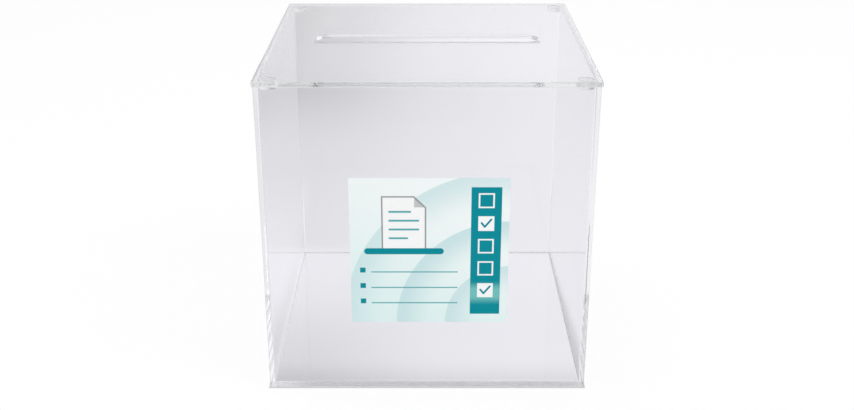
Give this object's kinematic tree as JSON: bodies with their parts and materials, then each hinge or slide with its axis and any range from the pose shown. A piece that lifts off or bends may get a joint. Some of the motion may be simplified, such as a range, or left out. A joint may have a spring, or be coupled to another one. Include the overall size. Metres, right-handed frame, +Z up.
{
  "type": "ballot box",
  "caption": "Clear acrylic cube box with a loose flat lid that has a long round-ended slot, corner locating discs under the lid and a square front label.",
  "frame": {"origin": "middle of the underside, on the surface that the box stands on", "axes": "+Z up towards the lid and its slot, -Y towards the front panel with the label, +X to the right seen from the front"},
  "size_m": [0.21, 0.21, 0.21],
  "materials": {
    "clear_acrylic": "polished clear cast acrylic sheet",
    "cement": "clear solvent cement, slightly wavy",
    "clear_disc": "clear moulded plastic, smooth",
    "label": "printed film label, satin"
  },
  "bodies": {
    "box": {"bottom_panel": "clear_acrylic", "front_panel": "clear_acrylic", "rear_panel": "clear_acrylic", "left_panel": "clear_acrylic", "right_panel": "clear_acrylic", "corner_beads": "cement", "front_label": "label"},
    "lid": {"lid_panel": "clear_acrylic", "disc_front_left": "clear_disc", "disc_front_right": "clear_disc", "disc_rear_left": "clear_disc", "disc_rear_right": "clear_disc"}
  },
  "joints": [
    {"name": "lid_lift", "type": "slide", "parent": "box", "child": "lid", "axis": [0, 0, 1], "range_m": [0, 0.12]}
  ]
}
